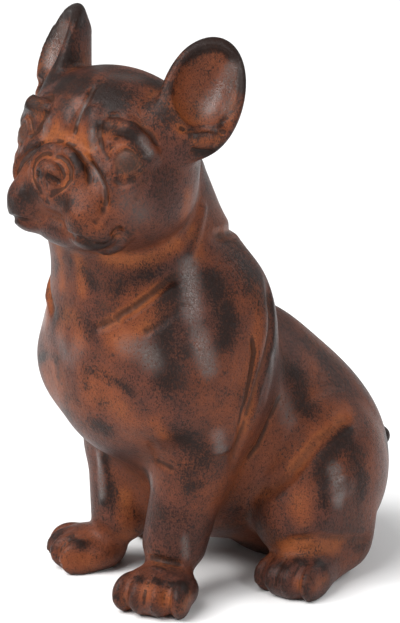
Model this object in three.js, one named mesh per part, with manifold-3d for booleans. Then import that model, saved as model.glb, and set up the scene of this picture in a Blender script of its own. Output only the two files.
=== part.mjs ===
// A sitting short-faced dog with bat ears, cast in one piece and cut flat where it meets the floor.
// It faces -Y, its own left is +X, +Z is up. Units are millimetres.
// The figure is a set of rounded masses and bands written at its own drawn size. Their blended field
// is meshed on a fine lattice, thinned where the form is calm, and cut by the floor.
import * as THREE from "three";
import Module from "manifold-3d";

// Overall sizes
const HEIGHT = 450.5; // floor to the higher ear tip
const LENGTH = 363.2; // muzzle to tail
const BREADTH = 250.7; // from one hind foot to the other ear

// Sizes that stand by themselves
const EAR_LENGTH = 90; // root to tip of one ear leaf
const EAR_WALL = 6; // thickness of the ear leaf at its rim
const EYE_DIAMETER = 25;
const TAIL_LENGTH = 43;
const HEAD_TURN = 9; // degrees toward the dog's left, as photographed
const FADE = 0.18; // share of a fold's length over which each end fades out
const CELL = 3; // lattice spacing of the carving
const FACETS = 9400; // triangles kept before the floor cut

// The size at which the masses below are drawn, and the Y of its middle
const DRAWN = { height: 450.5, length: 363.2, breadth: 250.7, middle: 18.9 };

// Small vector helpers on plain arrays
const sub = (a, b) => [a[0] - b[0], a[1] - b[1], a[2] - b[2]];
const add = (a, b) => [a[0] + b[0], a[1] + b[1], a[2] + b[2]];
const dot = (a, b) => a[0] * b[0] + a[1] * b[1] + a[2] * b[2];
const mirror = (p) => [Math.abs(p[0]), p[1], p[2]];

// Rows of the inverse turn, so that applying it takes a point into the turned axes
function axes(x, y, z) {
  const turn = new THREE.Euler(...[x, y, z].map(THREE.MathUtils.degToRad), "ZYX");
  const e = new THREE.Matrix4().makeRotationFromEuler(turn).elements;
  return [[e[0], e[1], e[2]], [e[4], e[5], e[6]], [e[8], e[9], e[10]]];
}
const into = (rows, p) => [dot(rows[0], p), dot(rows[1], p), dot(rows[2], p)];

// An egg-shaped mass, given by its centre, radii and turn
function mass(at, radii, turn) {
  const rows = turn ? axes(...turn) : null;
  return (p) => {
    const d = sub(p, at);
    const q = rows ? into(rows, d) : d;
    const a = Math.hypot(q[0] / radii[0], q[1] / radii[1], q[2] / radii[2]);
    const b = Math.hypot(q[0] / radii[0] ** 2, q[1] / radii[1] ** 2, q[2] / radii[2] ** 2);
    return (a * (a - 1)) / (b + 1e-6);
  };
}

// A round limb that runs from one radius to another
function limb(from, to, r0, r1) {
  const way = sub(to, from);
  const span = dot(way, way);
  return (p) => {
    const d = sub(p, from);
    const t = Math.min(1, Math.max(0, dot(d, way) / span));
    return Math.hypot(d[0] - t * way[0], d[1] - t * way[1], d[2] - t * way[2]) - (r0 + (r1 - r0) * t);
  };
}

// Soft union and soft cut of two distances
function join(a, b, soft) {
  const h = Math.max(soft - Math.abs(a - b), 0) / soft;
  return Math.min(a, b) - (h * h * soft) / 4;
}
function carve(a, b, soft) {
  const h = Math.max(soft - Math.abs(a + b), 0) / soft;
  return Math.max(a, -b) + (h * h * soft) / 4;
}

// A band along a few points: carved where depth is positive, raised where it is negative. Its ends
// fade out over a part of its length.
function band(width, depth, ...points) {
  const reach = width * 2.1;
  const spans = points.slice(1).map((p, i) => Math.hypot(...sub(p, points[i])));
  const whole = spans.reduce((a, b) => a + b);
  const low = [0, 1, 2].map((i) => Math.min(...points.map((p) => p[i])) - reach);
  const high = [0, 1, 2].map((i) => Math.max(...points.map((p) => p[i])) + reach);
  return (p) => {
    if (p[0] < low[0] || p[1] < low[1] || p[2] < low[2]) return 0;
    if (p[0] > high[0] || p[1] > high[1] || p[2] > high[2]) return 0;
    let [best, along, start] = [Infinity, 0, 0];
    for (let i = 0; i < spans.length; i++) {
      const way = sub(points[i + 1], points[i]);
      const d = sub(p, points[i]);
      const t = Math.min(1, Math.max(0, dot(d, way) / dot(way, way)));
      const away = Math.hypot(d[0] - t * way[0], d[1] - t * way[1], d[2] - t * way[2]);
      if (away < best) [best, along] = [away, (start + t * spans[i]) / whole];
      start += spans[i];
    }
    const ends = Math.min(1, Math.min(along, 1 - along) / FADE + 0.25);
    return depth * ends * (1 - Math.min(1, (best / reach) ** 2)) ** 3;
  };
}
const carveAll = (list, p) => list.reduce((sum, b) => sum + b(p), 0);

// The bands of each region. They are empty until the plain figure is there to draw them on.
let bands = { side: [], chest: [], face: [], middle: [], nose: [], lid: [], ear: [] };

// Trunk
const rump = mass([0, 100, 76], [95, 70, 90]);
const belly = mass([0, 34, 118], [76, 76, 97], [-27, 0, 0]);
const ribs = mass([0, -37, 191], [80, 75, 92], [-19.5, 0, 0]);
const breast = mass([0, -58, 190], [71, 49, 70]);
const pectoral = mass([48, -59, 175], [43, 42, 46]);
const shoulder = mass([56, -18, 193], [37, 50, 76], [-7.5, 0, 0]);
const neck = limb([0, -36, 232], [-3.5, -61, 312], 72, 64);
const thigh = mass([70, 72, 76], [42, 58, 66], [-24, 0, 0]);
const shin = limb([86, 40, 58], [84, 86, 30], 28, 21);
const tailRoot = [2, 158, 98];
const tailWay = [0.184, 0.798, -0.573];
const tail = limb(tailRoot, add(tailRoot, tailWay.map((v) => v * TAIL_LENGTH)), 14, 8.5);

function trunk(p, m) {
  let d = join(rump(p), belly(p), 40);
  d = join(d, ribs(p), 36);
  d = join(d, breast(p), 24);
  d = join(d, pectoral(m), 16);
  d = join(d, shoulder(m), 20);
  d = join(d, neck(p), 30);
  return join(d, join(thigh(m), shin(m), 24), 9);
}

// A paw: a low pad with four long toes fanned around its front, each with its claw
function paw(at, radii, turn, spread, reach) {
  const pad = mass(at, radii, [0, 0, turn]);
  const c = Math.cos(THREE.MathUtils.degToRad(turn));
  const s = Math.sin(THREE.MathUtils.degToRad(turn));
  const parts = [-1.5, -0.5, 0.5, 1.5].map((i) => {
    const x = i * spread;
    const y = -reach + Math.abs(i) * 4.5;
    const place = [at[0] + c * x - s * y, at[1] + s * x + c * y, at[2] - Math.abs(i)];
    const a = THREE.MathUtils.degToRad(turn + i * 9);
    const out = (far, up) => add(place, [Math.sin(a) * far, -Math.cos(a) * far, up]);
    return {
      toe: mass(place, [spread * 0.58, 19, 15], [-10, 0, turn + i * 9]),
      claw: limb(out(13, -1), out(16.5, -7), 3.2, 2.6),
    };
  });
  return (p) => {
    const d = parts.reduce((sum, { toe }) => join(sum, toe(p), 3), pad(p));
    return parts.reduce((sum, { claw }) => join(sum, claw(p), 1), d);
  };
}

// One foreleg, from the shoulder down to the paw
function foreleg(elbow, wrist, pawAt) {
  const upper = limb([56, -26, 150], elbow, 36, 29);
  const lower = limb(elbow, wrist, 29, 25);
  const foot = paw(pawAt, [30, 30, 19], 28, 14, 15);
  return (p) => join(join(upper(p), lower(p), 12), foot(p), 12);
}
const leftLeg = foreleg([47, -35, 105], [43, -50, 44], [58, -77, 15]);
const rightLeg = foreleg([44, -32, 104], [40, -37, 45], [58, -57, 13]);

// One hind foot, flat along the floor beside the rump
const instep = limb([82, 88, 21], [97, 37, 15], 19, 20);
const hindPaw = paw([96, 28, 14], [26, 27, 19], 12, 12.5, 10);


// Head, in its own axes: x to the dog's left, -y out along the muzzle
const headAt = [14.5, -89, 338];
const headAxes = axes(0, 4, HEAD_TURN);
const skull = mass([-2, 8, 26], [71, 53, 49]);
const orbit = mass([38, -26, 20], [22, 16, 24]);
const brow = [
  limb([33, -34, 43], [46, -31, 42], 6.5, 8.5),
  limb([46, -31, 42], [59, -23, 27], 8.5, 9),
];
const cheek = mass([37, -3.5, -8.5], [35, 48, 38]);
const jaw = mass([0, 3.5, -26], [53, 50, 39]);
const muzzle = mass([0, -40, -6], [38, 27, 25]);
const bridge = mass([0, -44, 8], [25, 18, 20]);
const flew = mass([30, -46, -24], [20, 22, 24]);
const gape = mass([0, -68, -40], [29, 16, 20]);
const chin = mass([0, -33, -38], [37, 26, 17]);
const nose = mass([0, -63, 5], [12.5, 7, 11]);
const nostril = limb([5.5, -70, 6.5], [11, -65, 2.5], 2.8, 2.1);
const eyeAt = [49, -30, 19.5];
const eye = mass(eyeAt, [EYE_DIAMETER / 2, EYE_DIAMETER / 2, EYE_DIAMETER / 2]);

// One ear: an upright leaf with a thick inner flank, curled forward at both edges and hollowed from
// the front down to its wall
const earAxes = axes(-14, 9, 28);
const earHalf = EAR_LENGTH / 2;
const earRoot = [71.5, 7.5, 22];
const leaf = mass([0, 0, earHalf], [30.5, 13, earHalf]);
const flank = limb([-15, 5, 14], [-9, 3, 68], 23, 8);
const bowl = mass([2, -11, earHalf + 9], [31 - EAR_WALL, 20 - EAR_WALL, earHalf - EAR_WALL - 8]);
const intoHead = (p) => into(headAxes, sub(p, headAt));
function intoEar(m) {
  const q = into(earAxes, sub(m, earRoot));
  return [q[0], q[1] + Math.min(12, 9 * (q[0] / 30) ** 2 - 3), q[2]];
}

function ear(m) {
  const q = intoEar(m);
  return carve(join(leaf(q), flank(q), 10), bowl(q), 3) + carveAll(bands.ear, q);
}

function head(p) {
  const h = intoHead(p);
  const m = mirror(h);
  let d = join(join(skull(h), orbit(m), 14), cheek(m), 18);
  d = join(d, jaw(h), 18);
  for (const ridge of brow) d = join(d, ridge(m), 5);
  const upper = carve(join(join(muzzle(h), bridge(h), 12), flew(m), 8), gape(h), 3);
  d = join(join(d, chin(h), 10), upper, 5);
  d += carveAll(bands.face, m) + carveAll(bands.middle, h);
  d = carve(join(d, nose(h), 1.5), nostril(m), 1.2);
  d = join(d, eye(m), 1);
  d += carveAll(bands.nose, m) + carveAll(bands.lid, m);
  return join(d, ear(m), 7);
}

// The whole dog, reaching a little under the floor
function dog(p) {
  const m = mirror(p);
  const other = [-p[0], p[1], p[2]];
  let d = join(trunk(p, m), leftLeg(p), 16);
  d = join(d, rightLeg(other), 16);
  d = join(d, join(instep(m), hindPaw(m), 10), 9);
  d += carveAll(bands.side, m) + carveAll(bands.chest, p);
  d = join(d, head(p), 7);
  return join(d, tail(p), 6);
}

// Where the photograph of the figure was taken from: what it aims at, its turn and rise in degrees, how
// far away, its lens and film width, and its size in pixels
const PHOTO = {
  aim: [12, 0, 212], turn: 51, rise: 15, away: 2300, lens: 172, film: 36, wide: 400, high: 623,
};

// Folds as they run over the photograph: width and depth in millimetres, then pixels they pass
const FOLDS = {
  // folds of the shoulders, haunches and neck, the same on both sides
  side: {
    "behind the shoulder": [3.6, 6, [262, 268], [267, 283], [271, 309], [271, 333], [265, 362],
        [256, 391], [247, 420], [238, 447], [233, 464]],
    "edge of the shoulder": [4, -3, [262, 300], [263, 330], [256, 360], [248, 388], [240, 415]],
    "inner shoulder fold": [2.4, 3.2, [252, 335], [254, 352], [249, 380], [243, 408], [239, 432]],
    "flank fold": [3, 2.4, [282, 392], [270, 420], [258, 446], [246, 462]],
    "haunch crease": [4, 5.5, [350, 413], [338, 426], [318, 440], [304, 457], [290, 474], [271, 488],
        [256, 496]],
    "haunch ridge": [5, -3, [352, 422], [338, 437], [322, 452], [309, 469], [297, 486]],
    "above the hind foot": [2.8, 3.6, [284, 546], [294, 541], [317, 537], [350, 540], [372, 538]],
    "haunch bump": [11, -4, [337, 475], [340, 500]],
    "neck fold": [3.6, 4.4, [182, 271], [167, 282], [150, 296], [132, 309], [112, 320], [93, 328]],
    "neck fold ridge": [5, -3, [178, 284], [160, 299], [140, 314], [120, 325]],
    "lower neck fold": [3.5, 2, [188, 300], [172, 314], [156, 326], [140, 334]],
    "ear to neck fold": [4, 2.6, [196, 172], [190, 196], [183, 220], [176, 240]],
    "collar fold": [4, -2.4, [204, 200], [200, 222], [192, 246], [184, 262]],
    "elbow": [9, -3, [221, 440], [219, 456]],
    "arm fold": [3, 2, [150, 440], [158, 462], [176, 470]],
  },
  // folds of the throat, breast and forelegs, each on its own side
  chest: {
    "wrist": [2.2, 2.4, [141, 556], [150, 561], [162, 565], [178, 566]],
    "wrist again": [1.8, 1.6, [143, 550], [155, 555], [172, 559]],
    "throat crease": [3, 3.6, [76, 305], [67, 318], [60, 329], [52, 341]],
    "throat ridge": [5, -4, [58, 246], [76, 262], [81, 283], [78, 304]],
    "beside the throat ridge": [3.4, 3, [88, 262], [92, 284], [90, 305], [84, 318]],
    "bib": [2.2, 3.6, [58, 379], [70, 373], [85, 371], [103, 376], [122, 387], [134, 397]],
    "bib edge": [4, -2.5, [130, 400], [136, 414], [141, 430], [143, 446]],
    "brisket": [7, 3, [118, 434], [124, 452], [128, 470]],
    "far leg tendon": [4, -2.5, [101, 452], [103, 478], [105, 508]],
  },
  // folds of the face, the same left and right
  face: {
    "eye hollow": [9, 3, [112, 163], [126, 166], [140, 168]],
    "under the brow": [2, 3.5, [112, 140], [122, 139], [133, 143], [141, 150], [144, 158]],
    "inner lobe": [5.5, -3, [93, 104], [93, 126], [95, 146]],
    "above the brow": [2.4, 3.4, [106, 117], [116, 115], [128, 118], [140, 124], [152, 134],
        [159, 147]],
    "inside the brow": [2.6, 2.8, [101, 124], [99, 136], [102, 150], [109, 161]],
    "nose ring": [1.5, 2, [50, 163], [57, 164], [62, 169], [64.5, 176], [62, 184], [55, 189],
        [47, 193]],
    "nose socket": [1.9, 3.2, [53, 155], [61, 157], [67, 162], [71, 170], [70, 180], [64, 187],
        [55, 193], [47, 198]],
    "nose roll": [4, -2.6, [54, 146], [63, 148], [73, 155], [79, 166], [79, 180]],
    "round the nose roll": [2.2, 2.4, [54, 140], [68, 143], [78, 151], [86, 162], [90, 175], [89, 186]],
    "cheek fold": [2.4, 4.6, [78, 151], [91, 163], [99, 175], [104, 187], [106, 200], [104, 211]],
    "cheek fold end": [3.5, 1.8, [105, 206], [101, 217], [92, 226]],
    "cheek fold ridge": [3.4, -2.4, [88, 154], [99, 166], [109, 180], [113, 196], [111, 210]],
    "flew front": [9, -2, [64, 200], [74, 214], [88, 226]],
    "philtrum": [1.7, 2.4, [46, 193], [46, 199], [46, 205]],
    "mouth line": [2.2, 4.6, [66, 233.5], [74, 237], [83, 240], [95, 245], [106, 246], [114, 241],
        [118, 233]],
    "mouth corner": [4, 6, [115, 229], [118, 233]],
    "lip curl": [3.4, -3.6, [98, 251], [108, 252], [119, 247], [127, 238], [128, 226]],
    "under eye fold": [2.6, 1.8, [106, 174], [113, 181], [124, 184], [137, 180]],
    "temple fold": [4, 1.8, [146, 176], [142, 190], [134, 204]],
    "lid crease": [1.5, 3.4, [106, 155], [111, 147], [118, 143], [127, 142.5], [136, 146], [145, 155]],
  },
  // folds that cross the middle of the face
  middle: {
    "forehead crease": [2.2, 4.6, [94, 86], [86, 102], [80, 113], [76, 124], [74, 136]],
    "far lobe": [5.5, -2.5, [66, 104], [66, 118], [67, 132]],
  },
  // the nose pad
  nose: {
    "nose slot": [1.3, 2.6, [46, 182], [46, 193]],
  },
  // the eyelids, on the eye's own ball
  lid: {
    "upper lid": [1.6, -4, [110.5, 161], [113, 154], [119, 148.5], [127, 147.5], [135, 151.5],
        [142, 161]],
    "lower lid": [1.5, -3.2, [110.5, 162], [114, 169], [121, 174.5], [130, 175], [138, 171],
        [143.5, 163]],
  },
  // the folds low in each ear and the groove along its rim
  ear: {
    "ear fold": [2.2, 6, [178, 128], [190, 129], [205, 128], [217, 129], [228, 134]],
    "ear pad": [4.5, -4, [192, 141], [205, 141], [217, 141]],
    "under the ear pad": [2.2, 4.5, [190, 150], [200, 152], [212, 152], [221, 149]],
    "ear rim groove": [3.2, 2.5, [231, 54], [239, 68], [240, 86], [236, 104], [228, 122]],
  },
};

function sightLine([x, y]) {
  const [turn, rise] = [PHOTO.turn, PHOTO.rise].map(THREE.MathUtils.degToRad);
  const flat = Math.cos(rise);
  const back = new THREE.Vector3(Math.sin(turn) * flat, -Math.cos(turn) * flat, Math.sin(rise));
  const right = new THREE.Vector3(Math.cos(turn), Math.sin(turn), 0);
  const up = back.clone().cross(right);
  const pixel = PHOTO.film / PHOTO.lens / PHOTO.high;
  const way = right.multiplyScalar((x - PHOTO.wide / 2) * pixel);
  way.addScaledVector(up, (PHOTO.high / 2 - y) * pixel).sub(back).normalize();
  return new THREE.Ray(new THREE.Vector3(...PHOTO.aim).addScaledVector(back, PHOTO.away), way);
}

// The point of the figure that a pixel shows, or none where the line of sight passes it
function onFigure(pixel) {
  const line = sightLine(pixel);
  const point = (far) => line.at(far, new THREE.Vector3()).toArray();
  let far = PHOTO.away - 300;
  for (let gap = dog(point(far)); gap > 0.2 && far < PHOTO.away + 400; gap = dog(point(far))) {
    far += Math.max(gap * 0.8, 0.3);
  }
  return far < PHOTO.away + 400 ? point(far) : null;
}

// The point of the eye's ball, a little grown, that a pixel shows, or the nearest on its rim
function onEye(pixel) {
  const [r0, r1, r2] = headAxes;
  const centre = add(headAt, [0, 1, 2].map((i) => dot([r0[i], r1[i], r2[i]], eyeAt)));
  const ball = new THREE.Sphere(new THREE.Vector3(...centre), EYE_DIAMETER / 2 + 0.6);
  const line = sightLine(pixel);
  const beside = line.closestPointToPoint(ball.center, new THREE.Vector3());
  const seen = line.intersectSphere(ball, new THREE.Vector3()) ?? ball.clampPoint(beside, beside);
  return seen.toArray();
}

// The bands of one region, with their points taken into its own axes
function drawn(region, find, place) {
  return Object.values(FOLDS[region]).map(([width, depth, ...pixels]) =>
    band(width, depth, ...pixels.map(find).filter(Boolean).map(place)));
}
bands = {
  side: drawn("side", onFigure, mirror),
  chest: drawn("chest", onFigure, (p) => p),
  face: drawn("face", onFigure, (p) => mirror(intoHead(p))),
  middle: drawn("middle", onFigure, intoHead),
  nose: drawn("nose", onFigure, (p) => mirror(intoHead(p))),
  lid: drawn("lid", onEye, (p) => mirror(intoHead(p))),
  ear: drawn("ear", onFigure, (p) => intoEar(intoHead(p))),
};
// the crease across the nape, which the photograph doesn't show
const nape = [[63, -28, 286], [61, -20, 285], [57, -9, 284], [46, 6, 282], [24, 20, 281], [0, 24, 281]];
bands.side.push(band(4, 4.5, ...nape));

// Where the inside corners of a cell, or its outside corners, fall in two groups, two sheets of the
// surface would touch. The outside corner nearest the surface is then filled.
function openPinches(value, n, step) {
  const corner = (c) => (c & 1) * step[0] + ((c >> 1) & 1) * step[1] + (c >> 2) * step[2];
  const corners = [0, 1, 2, 3, 4, 5, 6, 7];
  const groups = (mask) => {
    let left = corners.filter((c) => (mask >> c) & 1);
    let count = 0;
    for (; left.length; count++) {
      const group = [left[0]];
      for (const c of group) {
        for (const d of [c ^ 1, c ^ 2, c ^ 4]) if (left.includes(d) && !group.includes(d)) group.push(d);
      }
      left = left.filter((c) => !group.includes(c));
    }
    return count;
  };
  const pinched = Array.from({ length: 256 }, (_, mask) => groups(mask) > 1 || groups(255 - mask) > 1);
  for (let changed = true; changed; ) {
    changed = false;
    for (let i = 0; i < n[0] - 1; i++)
      for (let j = 0; j < n[1] - 1; j++)
        for (let k = 0; k < n[2] - 1; k++) {
          const o = i * step[0] + j * step[1] + k;
          let mask = 0;
          for (const c of corners) if (value[o + corner(c)] < 0) mask |= 1 << c;
          if (!pinched[mask]) continue;
          const open = corners.filter((c) => !((mask >> c) & 1)).map((c) => o + corner(c));
          value[open.reduce((a, b) => (value[b] < value[a] ? b : a))] = -0.05;
          changed = true;
        }
  }
}

// Surface of a field on a lattice: one vertex for each cell that the surface crosses
function surface(field, low, high, cell) {
  const n = [0, 1, 2].map((i) => Math.ceil((high[i] - low[i]) / cell) + 1);
  const at = (i, j, k) => (i * n[1] + j) * n[2] + k;
  const value = new Float32Array(n[0] * n[1] * n[2]);
  // coarse look first, so that only blocks near the surface are worked out in full
  const block = 4;
  const far = block * cell * 1.5;
  for (let i = 0; i < n[0]; i += block)
    for (let j = 0; j < n[1]; j += block)
      for (let k = 0; k < n[2]; k += block) {
        const middle = [i, j, k].map((v, a) => low[a] + (v + (block - 1) / 2) * cell);
        const guess = field(middle);
        for (let x = i; x < Math.min(i + block, n[0]); x++)
          for (let y = j; y < Math.min(j + block, n[1]); y++)
            for (let z = k; z < Math.min(k + block, n[2]); z++)
              value[at(x, y, z)] = Math.abs(guess) > far
                ? guess
                : field([low[0] + x * cell, low[1] + y * cell, low[2] + z * cell]);
      }
  const step = [n[1] * n[2], n[2], 1];
  openPinches(value, n, step);
  const index = new Map();
  const points = [];
  for (let i = 0; i < n[0] - 1; i++)
    for (let j = 0; j < n[1] - 1; j++)
      for (let k = 0; k < n[2] - 1; k++) {
        const o = at(i, j, k);
        const sum = [0, 0, 0];
        let crossings = 0;
        for (let a = 0; a < 3; a++) {
          const [b, c] = [(a + 1) % 3, (a + 2) % 3];
          for (let e = 0; e < 4; e++) {
            const s = o + (e & 1) * step[b] + (e >> 1) * step[c];
            const [v0, v1] = [value[s], value[s + step[a]]];
            if (v0 < 0 === v1 < 0) continue;
            sum[a] += v0 / (v0 - v1);
            sum[b] += e & 1;
            sum[c] += e >> 1;
            crossings++;
          }
        }
        if (!crossings) continue;
        index.set(o, points.length);
        points.push([i, j, k].map((v, a) => low[a] + (v + sum[a] / crossings) * cell));
      }
  const triangles = [];
  for (let i = 1; i < n[0] - 1; i++)
    for (let j = 1; j < n[1] - 1; j++)
      for (let k = 1; k < n[2] - 1; k++) {
        const o = at(i, j, k);
        for (let a = 0; a < 3; a++) {
          const inside = value[o] < 0;
          if (inside === value[o + step[a]] < 0) continue;
          const [b, c] = [step[(a + 1) % 3], step[(a + 2) % 3]];
          const quad = [o, o - b, o - b - c, o - c].map((s) => index.get(s));
          if (!inside) quad.reverse();
          triangles.push([quad[0], quad[1], quad[2]], [quad[0], quad[2], quad[3]]);
        }
      }
  return { points, triangles };
}

// Thins a closed mesh by folding edges, cheapest first, where the squared distance to the old faces
// is least. An edge is left if folding it would pinch the surface or turn a face over.
function thin({ points, triangles }, keep) {
  const cross = (a, b) => [a[1] * b[2] - a[2] * b[1], a[2] * b[0] - a[0] * b[2], a[0] * b[1] - a[1] * b[0]];
  const normal = (a, b, c) => cross(sub(b, a), sub(c, a));
  const faces = triangles.map((t) => [...t]);
  const around = points.map(() => new Set());
  const errors = points.map(() => new Float64Array(10));
  faces.forEach((f, i) => {
    f.forEach((v) => around[v].add(i));
    const n = normal(...f.map((v) => points[v]));
    const area = Math.hypot(...n) || 1e-9;
    const [a, b, c] = n.map((v) => v / area);
    const d = -dot([a, b, c], points[f[0]]);
    const q = [a * a, a * b, a * c, a * d, b * b, b * c, b * d, c * c, c * d, d * d];
    for (const v of f) for (let k = 0; k < 10; k++) errors[v][k] += q[k] * area;
  });
  const cost = (q, [x, y, z]) =>
    q[0] * x * x + 2 * q[1] * x * y + 2 * q[2] * x * z + 2 * q[3] * x + q[4] * y * y +
    2 * q[5] * y * z + 2 * q[6] * y + q[7] * z * z + 2 * q[8] * z + q[9];
  // the point where the summed error is least, or else the best of the ends and the middle
  function best(u, v) {
    const q = errors[u].map((e, i) => e + errors[v][i]);
    const mid = points[u].map((x, i) => (x + points[v][i]) / 2);
    const choices = [mid, points[u], points[v]];
    const rows = [[q[0], q[1], q[2]], [q[1], q[4], q[5]], [q[2], q[5], q[7]]];
    const size = dot(rows[0], cross(rows[1], rows[2]));
    if (Math.abs(size) > 1e-3 * Math.max(q[0], q[4], q[7]) ** 3) {
      const r = [-q[3], -q[6], -q[8]];
      const columns = (i) => rows.map((row, k) => row.map((x, j) => (j === i ? r[k] : x)));
      const spot = [0, 1, 2].map((i) => {
        const [a, b, c] = columns(i);
        return dot(a, cross(b, c)) / size;
      });
      if (Math.hypot(...sub(spot, mid)) < 12) choices.unshift(spot);
    }
    const rated = choices.map((p) => [cost(q, p), p]).sort((a, b) => a[0] - b[0]);
    const [error, spot] = rated[0];
    return { u, v, q, spot, price: Math.max(error, 0) + 1e-6 * Math.hypot(...sub(points[u], points[v])) };
  }
  const heap = [];
  const age = new Int32Array(points.length);
  const push = (e) => {
    e.stamp = age[e.u] + age[e.v];
    let i = heap.push(e) - 1;
    for (let up; i && heap[(up = (i - 1) >> 1)].price > e.price; i = up) heap[i] = heap[up];
    heap[i] = e;
  };
  const pop = () => {
    const top = heap[0];
    const last = heap.pop();
    if (heap.length) {
      let i = 0;
      for (let c; (c = 2 * i + 1) < heap.length; i = c) {
        if (c + 1 < heap.length && heap[c + 1].price < heap[c].price) c++;
        if (heap[c].price >= last.price) break;
        heap[i] = heap[c];
      }
      heap[i] = last;
    }
    return top;
  };
  const ring = (v) => new Set([...around[v]].flatMap((f) => faces[f]).filter((w) => w !== v));
  for (let v = 0; v < points.length; v++) for (const w of ring(v)) if (w > v) push(best(v, w));
  const gone = new Uint8Array(points.length);
  let count = faces.length;
  while (count > keep && heap.length) {
    const { u, v, spot, q, stamp } = pop();
    if (gone[u] || gone[v] || stamp !== age[u] + age[v]) continue;
    const [near, far] = [ring(u), ring(v)];
    if ([...near].filter((w) => far.has(w)).length !== 2) continue;
    const shared = [...around[u]].filter((f) => around[v].has(f));
    const rest = [...around[u], ...around[v]].filter((f) => !shared.includes(f));
    const turns = rest.some((f) => {
      const before = normal(...faces[f].map((w) => points[w]));
      const after = normal(...faces[f].map((w) => (w === u || w === v ? spot : points[w])));
      const size = Math.hypot(...after);
      return size < 0.4 || dot(before, after) < 0.35 * size * Math.hypot(...before);
    });
    if (turns) continue;
    for (const f of shared) {
      for (const w of faces[f]) around[w].delete(f);
      faces[f] = null;
    }
    for (const f of around[v]) {
      faces[f] = faces[f].map((w) => (w === v ? u : w));
      around[u].add(f);
    }
    points[u] = spot;
    errors[u] = q;
    gone[v] = 1;
    age[u]++;
    count -= 2;
    for (const w of ring(u)) push(best(u, w));
  }
  const used = new Map();
  const kept = [];
  const name = (v) => {
    if (!used.has(v)) used.set(v, kept.push(points[v]) - 1);
    return used.get(v);
  };
  return { points: kept, triangles: faces.filter(Boolean).map((f) => f.map(name)) };
}

const wasm = await Module();
wasm.setup();
const solid = ({ points, triangles }) =>
  new wasm.Manifold(new wasm.Mesh({
    numProp: 3,
    vertProperties: new Float32Array(points.flat()),
    triVerts: new Uint32Array(triangles.flat()),
  }));

// Everything above the floor, as a block around the figure
function aboveFloor() {
  const block = new THREE.BoxGeometry(600, 800, 900).translate(0, 0, 450);
  block.deleteAttribute("normal");
  block.deleteAttribute("uv");
  const corners = new Map();
  const points = [];
  const position = block.getAttribute("position");
  const names = Array.from({ length: position.count }, (_, i) => {
    const p = [position.getX(i), position.getY(i), position.getZ(i)];
    if (!corners.has(p.join())) corners.set(p.join(), points.push(p) - 1);
    return corners.get(p.join());
  });
  const order = Array.from(block.index.array, (i) => names[i]);
  const triangles = Array.from({ length: order.length / 3 }, (_, i) => order.slice(3 * i, 3 * i + 3));
  return { points, triangles };
}

const carved = thin(surface(dog, [-150, -190, -30], [150, 240, 490], CELL), FACETS);
// a point that falls just beside the floor goes onto it, so that the cut leaves no slivers
for (const p of carved.points) if (Math.abs(p[2]) < 0.9) p[2] = 0;
const cast = solid(carved).intersect(solid(aboveFloor())).getMesh();

const geometry = new THREE.BufferGeometry();
geometry.setAttribute("position", new THREE.BufferAttribute(new Float32Array(cast.vertProperties), 3));
geometry.setIndex(new THREE.BufferAttribute(new Uint32Array(cast.triVerts), 1));
geometry.translate(0, -DRAWN.middle, 0);
geometry.scale(BREADTH / DRAWN.breadth, LENGTH / DRAWN.length, HEIGHT / DRAWN.height);
geometry.computeVertexNormals();

const patina = new THREE.MeshStandardMaterial({ color: 0x7a4530, roughness: 0.5, metalness: 0 });
const figure = new THREE.Mesh(geometry, patina);
figure.name = "dog";

const statue = new THREE.Group();
statue.add(figure);
export default statue;
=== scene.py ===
"""Looks of the sitting dog statue: one cast piece with a rusty patina, dark on its high places, with sheen
and some shade painted into its colour.
"""
import math

import bpy
import numpy as np
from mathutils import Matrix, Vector


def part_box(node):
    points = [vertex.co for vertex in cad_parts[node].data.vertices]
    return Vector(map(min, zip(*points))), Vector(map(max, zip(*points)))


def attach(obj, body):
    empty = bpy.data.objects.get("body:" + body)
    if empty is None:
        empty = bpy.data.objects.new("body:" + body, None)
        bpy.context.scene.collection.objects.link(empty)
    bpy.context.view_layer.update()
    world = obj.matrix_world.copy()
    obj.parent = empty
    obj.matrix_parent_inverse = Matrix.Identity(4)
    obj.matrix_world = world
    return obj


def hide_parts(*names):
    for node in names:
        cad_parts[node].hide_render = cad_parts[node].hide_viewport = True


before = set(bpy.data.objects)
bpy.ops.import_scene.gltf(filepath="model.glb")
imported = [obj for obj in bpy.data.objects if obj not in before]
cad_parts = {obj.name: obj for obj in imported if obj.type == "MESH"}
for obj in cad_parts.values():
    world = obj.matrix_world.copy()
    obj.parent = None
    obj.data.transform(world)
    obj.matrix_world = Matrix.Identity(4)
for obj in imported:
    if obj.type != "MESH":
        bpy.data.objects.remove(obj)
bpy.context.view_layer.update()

# The dog is sculpted in millimetres. Its own zero lies this far behind the frame's.
MIDDLE = np.float32([0, 18.9, 0])
EAR_LENGTH, EAR_WALL, EYE_DIAMETER, HEAD_TURN = 90, 6, 25, 9

# The lattice that the mesh is cast on, in metres, and the triangles that it is thinned to
LATTICE, TRIANGLES = 0.0013, 196000

# How far around a point its fine and broad bends are felt, and its openness, in millimetres
FINE, BROAD, OPEN = 2.5, 8, 22

# Where the photograph was taken from, in the sculpture's millimetres, and its size in pixels
AIM, AWAY = np.float64([12, 0, 212]), 2300
TURN, RISE = math.radians(51), math.radians(15)
BACK = np.array([math.sin(TURN) * math.cos(RISE), -math.cos(TURN) * math.cos(RISE), math.sin(RISE)])
LENS, SENSOR = 172, 36
PHOTO_WIDE, PHOTO_HIGH = 400, 623

# The lines of sight are followed from before the dog to behind it
BEFORE, BEHIND = AWAY - 300.0, AWAY + 400


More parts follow.
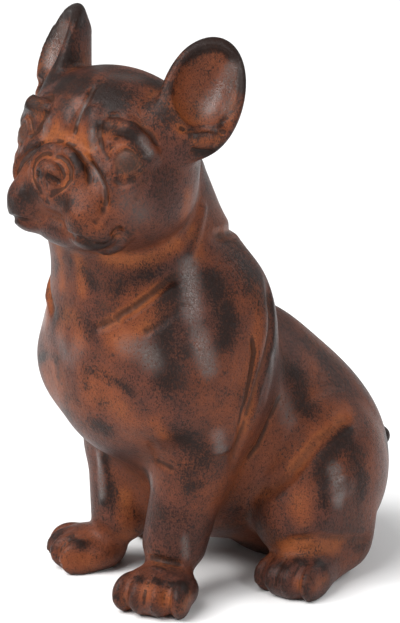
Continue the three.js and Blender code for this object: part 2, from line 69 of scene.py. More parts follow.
def place_camera():
    camera = bpy.data.objects.new("camera", bpy.data.cameras.new("camera"))
    camera.data.lens = LENS
    camera.data.sensor_width = SENSOR
    camera.location = (AIM + BACK * AWAY - MIDDLE) / 1000
    camera.rotation_euler = Vector(BACK).to_track_quat("Z", "Y").to_euler()
    bpy.context.scene.collection.objects.link(camera)
    bpy.context.scene.camera = camera


def soft_box(name, place, aim, size, power, warmth):
    lamp = bpy.data.lights.new(name, "AREA")
    lamp.size, lamp.energy, lamp.color = size, power, warmth
    light = bpy.data.objects.new(name, lamp)
    light.location = place
    light.rotation_euler = (Vector(place) - Vector(aim)).to_track_quat("Z", "Y").to_euler()
    bpy.context.scene.collection.objects.link(light)


def pale_floor():
    bpy.ops.object.select_all(action="DESELECT")
    bpy.ops.mesh.primitive_plane_add(size=12, location=(0, 0, -0.0005))
    floor = bpy.context.object
    floor.name = "floor"
    paper = bpy.data.materials.new("pale floor")
    paper.use_nodes = True
    shader = paper.node_tree.nodes["Principled BSDF"]
    shader.inputs["Base Color"].default_value = (0.9, 0.9, 0.9, 1)
    shader.inputs["Roughness"].default_value = 0.8
    floor.data.materials.append(paper)


def studio():
    bpy.context.scene.view_settings.view_transform = "Standard"
    world = bpy.data.worlds.new("studio")
    world.use_nodes = True
    world.node_tree.nodes["Background"].inputs["Color"].default_value = (1, 1, 1, 1)
    world.node_tree.nodes["Background"].inputs["Strength"].default_value = 0.36
    bpy.context.scene.world = world
    key = bpy.data.lights.new("wide ceiling light", "SUN")
    key.energy, key.angle = 3.4, math.radians(50)
    light = bpy.data.objects.new("wide ceiling light", key)
    light.rotation_euler = Vector((-0.1, -0.85, 1.15)).to_track_quat("Z", "Y").to_euler()
    bpy.context.scene.collection.objects.link(light)
    waist, neck_height = (0, 0, 0.22), (0, 0, 0.25)
    soft_box("left soft box", (-0.4, -1.7, 1.3), waist, size=0.6, power=14, warmth=(1, 0.99, 0.97))
    soft_box("right soft box", (1.9, -0.5, 1.1), waist, size=0.5, power=12, warmth=(1, 1, 1))
    soft_box("rim soft box", (0.6, 1.9, 1.4), neck_height, size=0.8, power=12, warmth=(0.97, 0.99, 1))


# Clay tools: distances to rounded masses, joined softly, and strokes pressed in or laid on
def axes(x, y, z):
    (a, b), (c, d), (e, f) = ((math.cos(v), math.sin(v)) for v in np.radians((x, y, z)))
    about_x = np.array([[1, 0, 0], [0, a, -b], [0, b, a]])
    about_y = np.array([[c, 0, d], [0, 1, 0], [-d, 0, c]])
    about_z = np.array([[e, -f, 0], [f, e, 0], [0, 0, 1]])
    return np.float32(about_z @ about_y @ about_x)


def mass(at, radii, turn=None):
    at, radii = np.float32(at), np.float32(radii)
    rows = axes(*turn) if turn else None

    def clay(p):
        q = p - at
        if rows is not None:
            q = q @ rows
        a = np.sqrt(((q / radii) ** 2).sum(1))
        b = np.sqrt(((q / radii ** 2) ** 2).sum(1)) + 1e-6
        return a * (a - 1) / b

    return clay


def limb(start, end, r0, r1):
    start, way = np.float32(start), np.float32(end) - np.float32(start)

    def clay(p):
        d = p - start
        t = np.clip(d @ way / (way @ way), 0, 1)
        return np.sqrt(((d - t[:, None] * way) ** 2).sum(1)) - (r0 + (r1 - r0) * t)

    return clay


def join(a, b, soft):
    h = np.maximum(soft - np.abs(a - b), 0) / soft
    return np.minimum(a, b) - h * h * soft / 4


def carve(a, b, soft):
    h = np.maximum(soft - np.abs(a + b), 0) / soft
    return np.maximum(a, -b) + h * h * soft / 4


# A stroke along points: pressed in where depth is positive, laid on where it is negative.
# It reaches past its width to each side, and its ends fade out over a length that grows with its width.
REACH_IN_WIDTHS, END_IN_WIDTHS = 2.1, 1.5


def stroke(width, depth, *points, fades=True):
    points = np.float32(points)
    reach = width * REACH_IN_WIDTHS
    low, high = points.min(0) - reach, points.max(0) + reach
    spans = np.sqrt(((points[1:] - points[:-1]) ** 2).sum(1))
    starts = np.concatenate([[0], np.cumsum(spans)]) / spans.sum()
    fade = np.clip(END_IN_WIDTHS * width / spans.sum(), 0.18, 0.5)

    def work(p, d):
        near = np.flatnonzero(((p > low) & (p < high)).all(1))
        if not len(near):
            return d
        q = p[near]
        best, along = np.full(len(q), np.inf), np.zeros(len(q))
        for i, (a, b) in enumerate(zip(points[:-1], points[1:])):
            way = b - a
            t = np.clip((q - a) @ way / (way @ way), 0, 1)
            away = ((q - a - t[:, None] * way) ** 2).sum(1)
            along = np.where(away < best, starts[i] + t * (starts[i + 1] - starts[i]), along)
            best = np.minimum(best, away)
        ends = np.clip(np.minimum(along, 1 - along) / fade + 0.25, 0, 1) if fades else np.ones(len(q))
        d[near] += depth * ends ** 2 * (3 - 2 * ends) * (1 - np.minimum(best / reach ** 2, 1)) ** 3
        return d

    return work


def worked(d, p, works):
    for work in works:
        d = work(p, d)
    return d


def mirror(p):
    return np.column_stack([np.abs(p[:, 0]), p[:, 1], p[:, 2]])


# The strokes of each region. They are empty until the plain dog is there to draw them on.
strokes = {region: [] for region in ("side", "chest", "face", "middle", "nose", "lid", "ear")}

# Trunk
rump = mass([0, 100, 76], [95, 70, 90])
belly = mass([0, 34, 118], [76, 76, 97], [-27, 0, 0])
ribs = mass([0, -37, 191], [80, 75, 92], [-19.5, 0, 0])
breast = mass([0, -58, 190], [71, 49, 70])
pectoral = mass([48, -59, 175], [43, 42, 46])
shoulder = mass([56, -18, 193], [37, 50, 76], [-7.5, 0, 0])
neck = limb([0, -36, 232], [-3.5, -61, 312], 72, 64)
thigh = mass([70, 72, 76], [42, 58, 66], [-24, 0, 0])
shin = limb([86, 40, 58], [84, 86, 30], 28, 21)
tail = limb([2, 158, 98], [10, 192.3, 73.4], 14, 8.5)


def trunk(p, m):
    d = join(rump(p), belly(p), 40)
    d = join(d, ribs(p), 36)
    d = join(d, breast(p), 24)
    d = join(d, pectoral(m), 16)
    d = join(d, shoulder(m), 20)
    d = join(d, neck(p), 30)
    return join(d, join(thigh(m), shin(m), 24), 9)


# A paw is a low pad with four long toes fanned around its front, each with its claw, and grooves
# that run between them over the pad. Each toe turns outward by a fan angle and stands back by a step.
TOE_FAN, TOE_STEP = 9, 4.5


def paw(at, radii, turn, spread, reach):
    pad = mass(at, radii, [0, 0, turn])
    along = axes(0, 0, turn)
    toes, claws, grooves = [], [], []
    for i in (-1.5, -0.5, 0.5, 1.5):
        place = at + along @ [i * spread, abs(i) * TOE_STEP - reach, -abs(i)]
        toes.append(mass(place, [spread * 0.6, 19.5, 15.5], [-10, 0, turn + i * TOE_FAN]))
        out = axes(0, 0, turn + i * TOE_FAN) @ [0, -1, 0]
        claws.append(limb(place + out * 17 + [0, 0, 4], place + out * 18.5 + [0, 0, -3], 2.3, 2.1))

    for i in (-1, 0, 1):
        share = math.sqrt(1 - (i * spread / radii[0]) ** 2)
        bow = []
        for t in np.radians((25, 45, 65, 85, 100)):
            y, z = -radii[1] * share * math.sin(t), radii[2] * share * math.cos(t)
            bow.append(at + along @ [i * (spread - 0.16 * (y + reach)), y, z])
        grooves.append(stroke(1.3, 2.2, *bow))

    def clay(p):
        d = pad(p)
        for toe in toes:
            d = join(d, toe(p), 2)
        d = worked(d, p, grooves)
        for claw in claws:
            d = join(d, claw(p), 1)
        return d

    return clay


def foreleg(elbow, wrist, paw_at):
    upper = limb([56, -26, 150], elbow, 36, 29)
    lower = limb(elbow, wrist, 29, 25)
    foot = paw(paw_at, [30, 30, 18.5], 28, 14, 15)
    return lambda p: join(join(upper(p), lower(p), 12), foot(p), 12)


left_leg = foreleg([47, -35, 105], [43, -50, 44], [58, -77, 15])
right_leg = foreleg([44, -32, 104], [40, -37, 45], [58, -57, 13])
instep = limb([82, 88, 21], [97, 37, 15], 19, 20)
hind_paw = paw([96, 28, 14], [26, 27, 18.5], 12, 12.5, 10)

# Head, in its own axes: x to the dog's left, -y out along the muzzle
head_at = np.float32([14.5, -89, 338])
head_axes = axes(0, 4, HEAD_TURN)
skull = mass([-2, 8, 26], [71, 53, 49])
orbit = mass([38, -26, 20], [22, 16, 24])
cheek = mass([37, -3.5, -8.5], [35, 48, 38])
jaw = mass([0, 3.5, -26], [53, 50, 39])
brow = [limb([33, -34, 43], [46, -31, 42], 6.5, 8.5), limb([46, -31, 42], [59, -23, 27], 8.5, 9)]
muzzle = mass([0, -40, -6], [38, 27, 25])
bridge = mass([0, -44, 8], [25, 18, 20])
flew = mass([30, -46, -24], [20, 22, 24])
chin = mass([0, -33, -38], [37, 26, 17])
nose = mass([0, -63, 5], [12.5, 7, 11])
gape = mass([0, -68, -40], [24, 16, 20])
nostril = limb([5.5, -70, 6.5], [11, -65, 2.5], 2.8, 2.1)
eye_at = np.float32([49, -30, 19.5])
eye = mass(eye_at, [EYE_DIAMETER / 2] * 3)

# One ear: an upright leaf, hollowed from the front down to its wall
ear_axes = axes(-14, 9, 28)
ear_root = np.float32([71.5, 7.5, 22])
half = EAR_LENGTH / 2
leaf = mass([0, 0, half], [30.5, 13, half])
bowl = mass([2, -11, half + 9], [31 - EAR_WALL, 20 - EAR_WALL, half - EAR_WALL - 8])
flank = limb([-15, 5, 14], [-9, 3, 68], 23, 8)


def into_ear(m):
    q = (m - ear_root) @ ear_axes
    curl = 9 * (q[:, 0] / 30) ** 2 - 3
    return np.column_stack([q[:, 0], q[:, 1] + np.minimum(curl, 12), q[:, 2]])


def ear(m):
    q = into_ear(m)
    return worked(carve(join(leaf(q), flank(q), 10), bowl(q), 3), q, strokes["ear"])


def into_head(p):
    return (p - head_at) @ head_axes


def head(p):
    h = into_head(p)
    m = mirror(h)
    d = join(join(skull(h), orbit(m), 14), cheek(m), 18)
    d = join(d, jaw(h), 18)
    for ridge in brow:
        d = join(d, ridge(m), 5)
    upper = carve(join(join(muzzle(h), bridge(h), 12), flew(m), 8), gape(h), 3)
    d = join(join(d, chin(h), 10), upper, 5)
    d = worked(worked(d, m, strokes["face"]), h, strokes["middle"])
    d = carve(join(d, nose(h), 1.5), nostril(m), 1.2)
    d = join(d, eye(m), 1)
    d = worked(worked(d, m, strokes["nose"]), m, strokes["lid"])
    return join(d, ear(m), 7)


# The whole dog, cut off flat by the floor
def dog(p):
    p = p.astype(np.float32)
    m = mirror(p)
    other = p * np.float32([-1, 1, 1])
    d = join(trunk(p, m), left_leg(p), 16)
    d = join(d, right_leg(other), 16)
    d = join(d, join(instep(m), hind_paw(m), 10), 9)
    d = worked(worked(d, m, strokes["side"]), p, strokes["chest"])
    d = join(d, head(p), 7)
    d = join(d, tail(p), 6)
    return np.maximum(d, -p[:, 2])


# Folds as they run over the photograph: each fold's width and depth in millimetres, then the pixels
# that it passes
FOLDS = {
    # folds of the shoulders, haunches and neck, the same on both sides
    "side": {
        "behind the shoulder": (4.4, 5, (262, 268), (267, 283), (271, 309), (271, 333), (265, 362),
            (256, 391), (247, 420), (238, 447), (233, 464)),
        "edge of the shoulder": (5.5, -2.4, (262, 300), (263, 330), (256, 360), (248, 388), (240, 415)),
        "inner shoulder fold": (2.4, 3.2, (252, 335), (254, 352), (249, 380), (243, 408), (239, 432)),
        "flank fold": (3, 2.4, (282, 392), (270, 420), (258, 446), (246, 462)),
        "haunch crease": (5.5, 4, (350, 413), (338, 426), (318, 440), (304, 457), (290, 474),
            (271, 488), (256, 496)),
        "haunch ridge": (7, -2.2, (352, 422), (338, 437), (322, 452), (309, 469), (297, 486)),
        "above the hind foot": (4.2, 2.4, (284, 546), (294, 541), (317, 537), (350, 540), (372, 538)),
        "haunch bump": (11, -4, (337, 475), (340, 500)),
        "neck fold": (4.4, 3.8, (182, 271), (167, 282), (150, 296), (132, 309), (112, 320), (93, 328)),
        "neck fold ridge": (5, -3, (178, 284), (160, 299), (140, 314), (120, 325)),
        "lower neck fold": (3.5, 2, (188, 300), (172, 314), (156, 326), (140, 334)),
        "ear to neck fold": (4, 2.6, (196, 172), (190, 196), (183, 220), (176, 240)),
        "collar fold": (4, -2.4, (204, 200), (200, 222), (192, 246), (184, 262)),
        "elbow": (9, -3, (221, 440), (219, 456)),
        "arm fold": (3, 2, (150, 440), (158, 462), (176, 470)),
    },
    # folds of the throat, breast and forelegs, each on its own side
    "chest": {
        "wrist": (2.3, 1.9, (139, 553), (148, 557), (160, 560), (172, 563), (183, 565)),
        "wrist ridge": (2.2, -1.6, (137, 566), (150, 567), (165, 571)),
        "far leg tendon": (4, -2.5, (101, 452), (103, 478), (105, 508)),
    },
    # folds of the face, the same left and right
    "face": {
        "eye hollow": (9, 3, (112, 163), (126, 166), (140, 168)),
        "under the brow": (2, 3.5, (112, 140), (122, 139), (133, 143), (141, 150), (144, 158)),
        "inner lobe": (5.5, -3, (93, 104), (93, 126), (95, 146)),
        "above the brow": (2.4, 3.4, (106, 117), (116, 115), (128, 118), (140, 124), (152, 134),
            (159, 147)),
        "inside the brow": (2.6, 2.8, (101, 124), (99, 136), (102, 150), (109, 161)),
        "nose ring": (1.5, 2, (50, 163), (57, 164), (62, 169), (64.5, 176), (62, 184), (55, 189),
            (47, 193)),
        "nose socket": (1.9, 3.2, (53, 155), (61, 157), (67, 162), (71, 170), (70, 180), (64, 187),
            (55, 193), (47, 198)),
        "nose roll": (4, -2.6, (54, 146), (63, 148), (73, 155), (79, 166), (79, 180)),
        "round the nose roll": (2.2, 2.4, (54, 140), (68, 143), (78, 151), (86, 162), (90, 175),
            (89, 186)),
        "cheek fold": (2.4, 4.6, (78, 151), (91, 163), (99, 175), (104, 187), (106, 200), (104, 211)),
        "cheek fold end": (3.5, 1.8, (105, 206), (101, 217), (92, 226)),
        "cheek fold ridge": (3.4, -2.4, (88, 154), (99, 166), (109, 180), (113, 196), (111, 210)),
        "flew front": (9, -2, (64, 200), (74, 214), (88, 226)),
        "philtrum": (1.4, 2.8, (46, 193), (46, 199), (46, 205)),
        "mouth line": (2.2, 4.6, (66, 233.5), (74, 237), (83, 240), (95, 245), (106, 246), (114, 241),
            (118, 233)),
        "mouth corner": (4, 6, (115, 229), (118, 233)),
        "lip curl": (3.4, -3.6, (98, 251), (108, 252), (119, 247), (127, 238), (128, 226)),
        "under eye fold": (2.6, 1.8, (106, 174), (113, 181), (124, 184), (137, 180)),
        "temple fold": (4, 1.8, (146, 176), (142, 190), (134, 204)),
        "lid crease": (1.5, 3.4, (106, 155), (111, 147), (118, 143), (127, 142.5), (136, 146),
            (145, 155)),
    },
    # folds that cross the middle of the face
    "middle": {
        "forehead crease": (2.2, 4.6, (94, 86), (86, 102), (80, 113), (76, 124), (74, 136)),
        "far lobe": (5.5, -2.5, (66, 104), (66, 118), (67, 132)),
    },
    # the nose pad
    "nose": {
        "nose slot": (1.3, 2.6, (46, 182), (46, 193)),
    },
    # the eyelids, on the eye's own ball
    "lid": {
        "upper lid": (1.2, -3.6, (110.5, 161), (113, 154), (119, 148.5), (127, 147.5), (135, 151.5),
            (142, 161)),
        "lower lid": (1.1, -2.8, (110.5, 162), (114, 169), (121, 174.5), (130, 175), (138, 171),
            (143.5, 163)),
    },
    # the folds low in each ear and the groove along its rim
    "ear": {
        "ear fold": (2.2, 6, (178, 128), (190, 129), (205, 128), (217, 129), (228, 134)),
        "ear pad": (4.5, -4, (192, 141), (205, 141), (217, 141)),
        "under the ear pad": (2.2, 4.5, (190, 150), (200, 152), (212, 152), (221, 149)),
        "ear rim groove": (3.2, 2.5, (231, 54), (239, 68), (240, 86), (236, 104), (228, 122)),
    },
}


# The lines of sight through pixels of the photograph, as the camera's place and their directions
def sight_lines(pixels):
    right = np.array([math.cos(TURN), math.sin(TURN), 0])
    up = np.cross(BACK, right)
    across, down = (np.float64(pixels) - [PHOTO_WIDE / 2, PHOTO_HIGH / 2]).T * SENSOR / LENS / PHOTO_HIGH
    ways = across[:, None] * right - down[:, None] * up - BACK
    return AIM + BACK * AWAY, ways / np.linalg.norm(ways, axis=1, keepdims=True)


# Where the lines of sight meet the dog, without those that pass it
def on_dog(pixels):
    stand, ways = sight_lines(pixels)
    far = np.full(len(ways), BEFORE)
    for _ in range(90):
        gap = dog(stand + ways * far[:, None])
        short = (gap > 0.2) & (far < BEHIND)
        if not short.any():
            break
        far += np.where(short, np.maximum(gap * 0.8, 0.3), 0)
    return (stand + ways * far[:, None])[far < BEHIND]


# On the eye's ball, a little grown, or on its rim where a line of sight passes beside it
def on_eye(pixels):
    centre, radius = head_at + head_axes @ eye_at, EYE_DIAMETER / 2 + 0.6
    stand, ways = sight_lines(pixels)
    beside = stand - centre + ways * ((centre - stand) * ways).sum(1)[:, None]
    beside *= np.minimum(1, radius / np.linalg.norm(beside, axis=1))[:, None]
    return centre + beside - ways * np.sqrt(np.maximum(radius ** 2 - (beside ** 2).sum(1), 0))[:, None]


# Each region's own axes, and how its pixels come into them
PLACES = {
    "side": lambda px: mirror(on_dog(px)),
    "chest": on_dog,
    "face": lambda px: mirror(into_head(on_dog(px))),
    "middle": lambda px: into_head(on_dog(px)),
    "nose": lambda px: mirror(into_head(on_dog(px))),
    "lid": lambda px: mirror(into_head(on_eye(px))),
    "ear": lambda px: into_ear(into_head(on_dog(px))),
}
strokes.update({
    region: [stroke(width, depth, *PLACES[region](pixels)) for width, depth, *pixels in folds.values()]
    for region, folds in FOLDS.items()
})

# The crease across the nape, which the photograph doesn't show
NAPE = [63, -28, 286], [61, -20, 285], [57, -9, 284], [46, 6, 282], [24, 20, 281], [0, 24, 281]
strokes["side"].append(stroke(4, 4.5, *NAPE))


# Reading and setting a mesh's points, in the sculpture's millimetres
def points_of(mesh):
    flat = np.empty(len(mesh.vertices) * 3, np.float32)
    mesh.vertices.foreach_get("co", flat)
    return flat.reshape(-1, 3) * 1000 + MIDDLE


def set_points(mesh, points):
    mesh.vertices.foreach_set("co", ((points - MIDDLE) / 1000).astype(np.float32).ravel())
    mesh.update()


# Moves each point straight to the sculpture's surface, down the slope felt over a small step
def press(mesh, times):
    p = points_of(mesh)
    small = 0.35
    for _ in range(times):
        d = dog(p)
        slope = np.stack([dog(p + step) - d for step in np.eye(3, dtype=np.float32) * small], 1) / small
        steep = np.maximum((slope ** 2).sum(1), 0.25)
        p -= np.clip(d / steep, -3, 3)[:, None] * slope
    set_points(mesh, p)


def finish_modifier(piece, kind, **values):
    modifier = piece.modifiers.new(kind.lower(), kind)
    for name, value in values.items():
        setattr(modifier, name, value)
    bpy.ops.object.modifier_apply(modifier=modifier.name)


# The dog's mesh: the part's own, cast again on a fine lattice and pressed to the sculpture
def cast_dog():
    bpy.ops.object.select_all(action="DESELECT")
    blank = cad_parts["dog"]
    piece = bpy.data.objects.new("cast_dog", blank.data.copy())
    piece.data.materials.clear()
    bpy.context.scene.collection.objects.link(piece)
    piece.select_set(True)
    bpy.context.view_layer.objects.active = piece
    bpy.ops.object.mode_set(mode="EDIT")
    bpy.ops.mesh.select_all(action="SELECT")
    bpy.ops.mesh.remove_doubles(threshold=0.00001)
    bpy.ops.object.mode_set(mode="OBJECT")
    finish_modifier(piece, "REMESH", mode="VOXEL", voxel_size=LATTICE)
    press(piece.data, 2)
    finish_modifier(piece, "SMOOTH", factor=0.5, iterations=2)
    press(piece.data, 2)
    faces = sum(len(f.vertices) - 2 for f in piece.data.polygons)
    finish_modifier(piece, "DECIMATE", ratio=TRIANGLES / faces)
    low, high = (np.float32(v) * 1000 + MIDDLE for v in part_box("dog"))
    set_points(piece.data, np.clip(points_of(piece.data), low, high))
    piece.data.shade_smooth()
    return piece


# Paint as it lies over the photograph: each stroke's width in millimetres and strength, then the
# pixels that it passes. Charcoal is left on the crowns and, under the belly, stands for painted shade;
# orange rust shows in the folds. The grey is painted sheen: highlights laid into the colour, where the cast
# is also made glossier.
PAINT = {
    "charcoal": {
        "body": {
            "front of the shoulder": (10, 0.9, (176, 288), (168, 320), (165, 350), (168, 378)),
            "side of the shoulder": (9, 1.0, (210, 280), (222, 300), (228, 322), (226, 338)),
            "middle of the shoulder": (6, 0.6, (190, 342), (186, 352)),
            "under the cheek": (8, 0.5, (160, 255), (150, 268)),
            "behind the neck": (13, 0.7, (238, 250), (250, 275), (256, 292)),
            "under the jaw": (7, 0.6, (116, 289), (132, 283), (146, 276)),
            "throat": (5, 0.6, (84, 272), (92, 284)),
            "below the throat": (6, 0.6, (80, 322), (92, 330)),
            "far breast": (6, 0.5, (50, 372), (54, 386)),
            "bib": (3.5, 0.8, (58, 378), (85, 370), (104, 375), (124, 387), (132, 394)),
            "below the bib": (6, 0.8, (94, 424), (106, 430)),
            "middle of the breast": (5, 0.4, (78, 400), (86, 408)),
            "elbow": (9, 1.0, (180, 436), (196, 446), (202, 458)),
            "below the elbow": (6, 0.6, (180, 466), (188, 472)),
            "middle of the foreleg": (4, 0.7, (188, 487), (200, 484)),
            "front of the foreleg": (5, 0.5, (144, 516), (152, 524)),
            "side of the foreleg": (5, 0.5, (166, 514), (182, 518)),
            "inside of the far foreleg": (3.5, 0.9, (106, 455), (108, 470), (112, 490), (120, 510)),
            "wrist": (3, 0.8, (158, 556), (174, 561)),
            "first toe": (3, 1.0, (137, 577), (141, 580)),
            "second toe": (3, 1.0, (155, 580), (160, 583)),
            "outer toes": (3.6, 1.0, (172, 584), (186, 588)),
            "far paw": (3.6, 1.0, (72, 540), (82, 545)),
            "far toes": (3, 0.7, (55, 537), (61, 534)),
            "second hind toe": (3, 0.9, (296, 560), (304, 563)),
            "outer hind toe": (3, 0.9, (318, 562), (324, 567)),
            "inner hind toe": (3, 0.6, (280, 566), (286, 570)),
            "flank": (10, 0.8, (293, 376), (300, 392), (304, 408)),
            "behind the shoulder": (5, 0.5, (271, 300), (276, 335), (270, 372)),
            "back": (11, 0.5, (312, 345), (334, 372), (346, 392)),
            "front of the haunch": (8, 0.9, (346, 432), (332, 452), (322, 472)),
            "middle of the haunch": (4.5, 1.0, (323, 478), (322, 490), (326, 502)),
            "back of the haunch": (8, 0.7, (352, 452), (362, 475), (362, 492)),
            "heel": (5, 0.5, (352, 540), (360, 546)),
            # painted shade under the belly, laid on as charcoal
            "belly": (14, 0.5, (236, 520), (262, 528)),
            "rump": (9, 1.0, (386, 430), (387, 442)),
        },
        "head": {
            "crown": (9, 0.8, (96, 72), (125, 73), (152, 82)),
            "forehead": (8, 0.8, (98, 90), (112, 94), (128, 96)),
            "above the brow": (6, 0.6, (110, 106), (124, 108)),
            "far forehead": (7, 0.8, (66, 84), (78, 88)),
            "far lobe": (5, 0.6, (66, 104), (70, 114)),
            "brow": (4.5, 1.0, (100, 126), (114, 128), (130, 137), (146, 156)),
            "temple": (9, 0.6, (156, 100), (164, 118)),
            "cheek fold": (5, 0.9, (90, 166), (95, 178)),
            "nose roll": (3.5, 0.8, (76, 158), (81, 166)),
            "upper lip": (6, 0.7, (58, 198), (66, 205)),
            "flew": (7, 0.7, (72, 226), (84, 240), (106, 244)),
            "under the eye": (3, 0.8, (118, 178), (132, 180)),
            "far flew": (5, 0.5, (26, 192), (34, 200)),
            "nose": (3, 1.0, (48, 176), (58, 180)),
            "ear rim": (5, 1.0, (196, 44), (212, 37), (230, 46), (240, 64), (244, 84)),
            "ear fold": (3.5, 0.9, (184, 130), (196, 134), (214, 132)),
            "under the ear pad": (3, 1.0, (196, 150), (208, 152), (221, 147)),
            "ear root": (5, 0.7, (162, 84), (169, 90)),
            "far ear tip": (6, 1.0, (64, 10), (71, 7), (77, 18)),
            "far ear rim": (3.5, 0.8, (52, 30), (44, 56), (42, 74)),
            "far ear edge": (2.5, 0.8, (70, 12), (69, 36), (68, 58)),
            "far ear root": (5, 0.8, (44, 82), (54, 80)),
        },
    },
    # painted sheen: grey highlights laid into the colour; these strokes also make the cast glossier
    "shine": {
        "body": {
            "front of the shoulder": (7, 1.0, (189, 266), (190, 292), (193, 314)),
            "side of the shoulder": (7, 1.0, (200, 338), (204, 352), (209, 368)),
            "breast": (8, 0.8, (126, 346), (146, 350), (152, 362)),
            "far breast": (7, 0.5, (60, 340), (66, 356)),
            "flank": (7, 0.6, (282, 398), (288, 418)),
            "elbow": (5, 0.8, (218, 434), (221, 450)),
            "haunch": (6, 1.0, (335, 470), (339, 488), (338, 500)),
            "far foreleg": (3, 0.9, (98, 455), (101, 474), (102, 496)),
            "behind the shoulder": (3, 0.6, (273, 356), (271, 380), (266, 400)),
            "foreleg": (3, 0.7, (184, 540), (186, 556)),
        },
        "head": {
            "brow end": (4, 1.0, (144, 140), (150, 152)),
            "inner lobe": (4, 0.7, (91, 134), (93, 146)),
            "near ear": (6, 0.8, (228, 72), (218, 90), (208, 106)),
            "far ear": (5, 0.8, (62, 24), (54, 46), (50, 62)),
            "cheek fold": (4, 0.6, (98, 172), (105, 190)),
            "cheek": (10, 0.4, (128, 200), (140, 212)),
            "forehead crease": (4, 0.5, (84, 104), (80, 122)),
            "crown": (6, 0.5, (112, 76), (136, 78)),
        },
    },
    "orange": {
        "body": {
            "neck fold": (11, 0.9, (152, 298), (136, 318), (118, 336)),
            "behind the shoulder": (8, 0.6, (258, 290), (260, 330), (252, 380), (242, 430)),
            "arm fold": (6, 0.7, (156, 424), (166, 436)),
            "haunch crease": (8, 0.6, (346, 412), (318, 436), (298, 462)),
            "above the hind foot": (7, 0.9, (288, 546), (312, 544), (336, 546)),
            "inside of the foreleg": (6, 1.0, (124, 496), (128, 536)),
            "throat": (5, 0.8, (78, 258), (81, 274), (82, 292)),
            "below the throat": (8, 0.7, (66, 316), (60, 330)),
            "collar fold": (7, 0.6, (196, 236), (199, 254)),
            "breast": (14, 0.6, (94, 392), (118, 408)),
            "front of the haunch": (8, 0.7, (300, 500), (304, 520)),
            "paw": (6, 0.8, (148, 590), (164, 598)),
            "outer toes": (6, 0.7, (190, 596), (184, 606)),
            "hind paw": (6, 0.7, (326, 580), (300, 584)),
            "far paw": (7, 0.8, (60, 560), (90, 562)),
        },
        "head": {
            "between the eyes": (6, 0.9, (68, 140), (82, 134), (90, 150)),
            "eyelids": (3, 0.5, (112, 151), (126, 145), (141, 158), (138, 173), (124, 176)),
            "nose ring": (2, 0.9, (50, 157), (66, 162), (71, 176), (62, 191)),
            "ear root": (6, 0.8, (172, 104), (178, 116), (182, 130)),
            "ear pad": (5, 0.9, (198, 142), (218, 140)),
            "ear edge": (4.5, 0.9, (236, 96), (233, 112), (226, 126)),
            "jaw": (6, 0.9, (108, 257), (146, 262), (176, 246)),
            "back of the jaw": (6, 0.7, (188, 196), (186, 214)),
            "above the brow": (3, 0.8, (108, 122), (124, 126)),
            "mouth corner": (3, 0.5, (98, 226), (117, 236)),
            "far cheek": (5, 0.9, (32, 108), (42, 114)),
        },
    },
}


# How the surface bends around each point: above zero on crowns, below zero in folds
def bends(p, reach):
    d = dog(p)
    ring = sum(dog(p + side * reach * step) for step in np.eye(3, dtype=np.float32) for side in (-1, 1))
    return (ring / 6 - d) / reach


# How thickly the strokes of one colour lie on each point, the same left and right
def painted(p, coats):
    coat = np.zeros(len(p))
    for region, into in (("body", mirror), ("head", lambda q: mirror(into_head(q)))):
        own = into(p)
        for width, strength, *pixels in coats[region].values():
            coat = stroke(width, strength, *into(on_dog(pixels)), fades=False)(own, coat)
    return np.clip(coat, 0, 1)


# Writes the bends, the openness, the eyeballs and the paint on the mesh for the material to read
def lay_marks(mesh):
    p = points_of(mesh)
    normals = np.empty(len(p) * 3, np.float32)
    mesh.vertices.foreach_get("normal", normals)
    marks = {
        "fine_bend": bends(p, FINE),
        "broad_bend": bends(p, BROAD),
        "openness": dog(p + normals.reshape(-1, 3) * OPEN) / OPEN,
        "eyeball": np.clip(1.5 - np.abs(eye(mirror(into_head(p)))), 0, 1),
    }
    marks.update({name: painted(p, coats) for name, coats in PAINT.items()})
    for name, values in marks.items():
        layer = mesh.attributes.new(name, "FLOAT", "POINT")
        layer.data.foreach_set("value", values.astype(np.float32))


# Adds nodes to one material. An input given as a socket is linked, one given as a value is set.
class Brush:
    def __init__(self, name):
        self.material = bpy.data.materials.new(name)
        self.material.use_nodes = True
        self.tree = self.material.node_tree
        self.shader = self.tree.nodes["Principled BSDF"]

    def feed(self, socket, value):
        if isinstance(value, bpy.types.NodeSocket):
            self.tree.links.new(value, socket)
        else:
            socket.default_value = value

    def node(self, kind, inputs, **settings):
        node = self.tree.nodes.new(kind)
        count = len(self.tree.nodes)
        node.location = (-300 - 190 * (count // 6), 400 - 240 * (count % 6))
        for name, value in settings.items():
            setattr(node, name, value)
        for key, value in inputs.items():
            self.feed(node.inputs[key], value)
        return node

    def mark(self, name):
        return self.node("ShaderNodeAttribute", {}, attribute_name=name).outputs["Fac"]

    def sum(self, *terms):
        """Sum of terms, each a socket and its weight, and of plain numbers."""
        total = sum(t for t in terms if not isinstance(t, tuple))
        for socket, weight in (t for t in terms if isinstance(t, tuple)):
            step = self.node("ShaderNodeMath", {0: socket, 1: weight, 2: total}, operation="MULTIPLY_ADD")
            total = step.outputs[0]
        return total

    def ease(self, value, low, high, out_low=0, out_high=1):
        inputs = {"Value": value, "From Min": low, "From Max": high, "To Min": out_low, "To Max": out_high}
        return self.node("ShaderNodeMapRange", inputs, interpolation_type="SMOOTHSTEP").outputs["Result"]

    def blend(self, factor, a, b):
        node = self.node("ShaderNodeMix", {0: factor, 6: a, 7: b}, data_type="RGBA")
        return node.outputs[2]

    def noise(self, coords, scale, detail=2, roughness=0.5, distortion=0):
        inputs = {"Vector": coords, "Scale": scale, "Detail": detail, "Roughness": roughness,
                  "Distortion": distortion}
        return self.node("ShaderNodeTexNoise", inputs).outputs["Fac"]


RUST = (0.175, 0.047, 0.018, 1)
ORANGE = (0.285, 0.083, 0.025, 1)
MAUVE = (0.088, 0.031, 0.022, 1)
CHARCOAL = (0.010, 0.006, 0.005, 1)
# grey of the painted sheen
PAINTED_SHEEN_GREY = (0.092, 0.068, 0.060, 1)
EYE_BROWN = (0.060, 0.032, 0.022, 1)


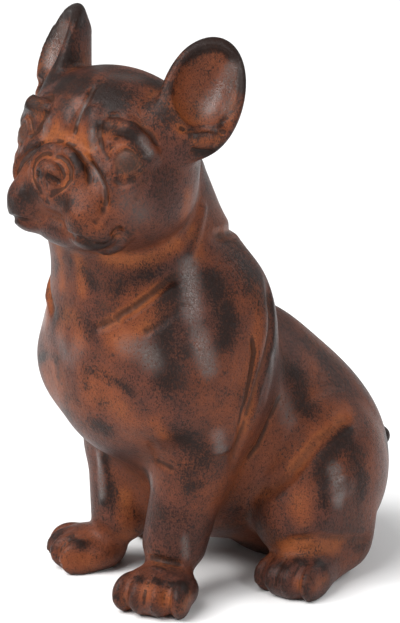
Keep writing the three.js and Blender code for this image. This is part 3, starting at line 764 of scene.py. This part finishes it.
def patina():
    brush = Brush("rusty patina with painted sheen and shade")
    place = brush.node("ShaderNodeTexCoord", {}).outputs["Object"]
    fine_bend, broad_bend, openness = (brush.mark(name) for name in ("fine_bend", "broad_bend", "openness"))
    charcoal, shine, orange = (brush.mark(name) for name in ("charcoal", "shine", "orange"))

    clouds = brush.noise(place, 15, detail=3)
    mottle = brush.noise(place, 48, detail=5, roughness=0.65)
    speck = brush.noise(place, 540, detail=3, roughness=0.7)
    downy = brush.node("ShaderNodeMapping", {"Vector": place, "Scale": (1, 1, 0.55)}).outputs["Vector"]
    hairs = brush.noise(downy, 390, detail=3, roughness=0.65, distortion=2.4)

    # rust, brighter in the folds and duller on the broad sides
    warm = brush.sum((orange, 0.55), (fine_bend, -0.9), (broad_bend, -0.9), (openness, -0.3),
                     (mottle, 1.4), (speck, 1.2), (hairs, -1.0), -0.55)
    dull = brush.sum((openness, 0.4), (clouds, 1.8), (orange, -0.7), (mottle, 0.8), (speck, 0.5), -1.3)
    colour = brush.blend(brush.ease(dull, 0, 0.9), RUST, MAUVE)
    colour = brush.blend(brush.ease(warm, 0, 1), colour, ORANGE)

    # charcoal, thick in its middle and broken into specks and hairs toward its wide edge
    cover = brush.sum((charcoal, 0.85), (broad_bend, 0.9), (fine_bend, 0.8), (clouds, 1.0), (mottle, 1.5),
                      (orange, -0.35), (shine, -0.15), -1.15)
    ragged = brush.sum((cover, 1.0), (speck, 2.4), (hairs, 3.4), -2.7)
    colour = brush.blend(brush.ease(ragged, -0.1, 1.1, 0, 0.95), colour, CHARCOAL)

    # painted sheen: grey laid over the charcoal where highlights fall
    painted_sheen = brush.sum((shine, 0.8), (speck, 0.8), (hairs, 1.2), (mottle, 1.0), -1.55)
    colour = brush.blend(brush.ease(painted_sheen, 0, 1, 0, 0.7), colour, PAINTED_SHEEN_GREY)
    # fine dark hairs all over
    lines = brush.ease(brush.sum((hairs, 1.0), (speck, 0.5)), 0.74, 0.52, 0, 0.75)
    colour = brush.blend(lines, colour, CHARCOAL)
    # painted shade: charcoal laid into the deepest folds, where shade falls
    painted_crease_shade = brush.ease(fine_bend, -0.03, -0.18, 0, 0.8)
    colour = brush.blend(painted_crease_shade, colour, CHARCOAL)
    # the eyeballs are plain and smooth
    eyeball = brush.mark("eyeball")
    colour = brush.blend(brush.sum((eyeball, 0.45), 0), colour, EYE_BROWN)

    brush.feed(brush.shader.inputs["Base Color"], colour)
    rough = brush.sum((shine, -0.14), (speck, 0.22), (hairs, 0.2), (orange, 0.06), 0.17)
    brush.feed(brush.shader.inputs["Roughness"], rough)
    brush.feed(brush.shader.inputs["Specular IOR Level"], brush.sum((shine, 0.4), 0.13))
    peel = brush.noise(place, 190, detail=2)
    relief = brush.sum((hairs, 1.0), (speck, 0.6), (peel, 1.2))
    bump = brush.node("ShaderNodeBump", {"Strength": 0.6, "Distance": 0.0006, "Height": relief})
    brush.feed(brush.shader.inputs["Normal"], bump.outputs["Normal"])
    return brush.material


place_camera()
studio()
pale_floor()
dog_piece = cast_dog()
lay_marks(dog_piece.data)
dog_piece.data.materials.append(patina())
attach(dog_piece, "root")
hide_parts("dog")
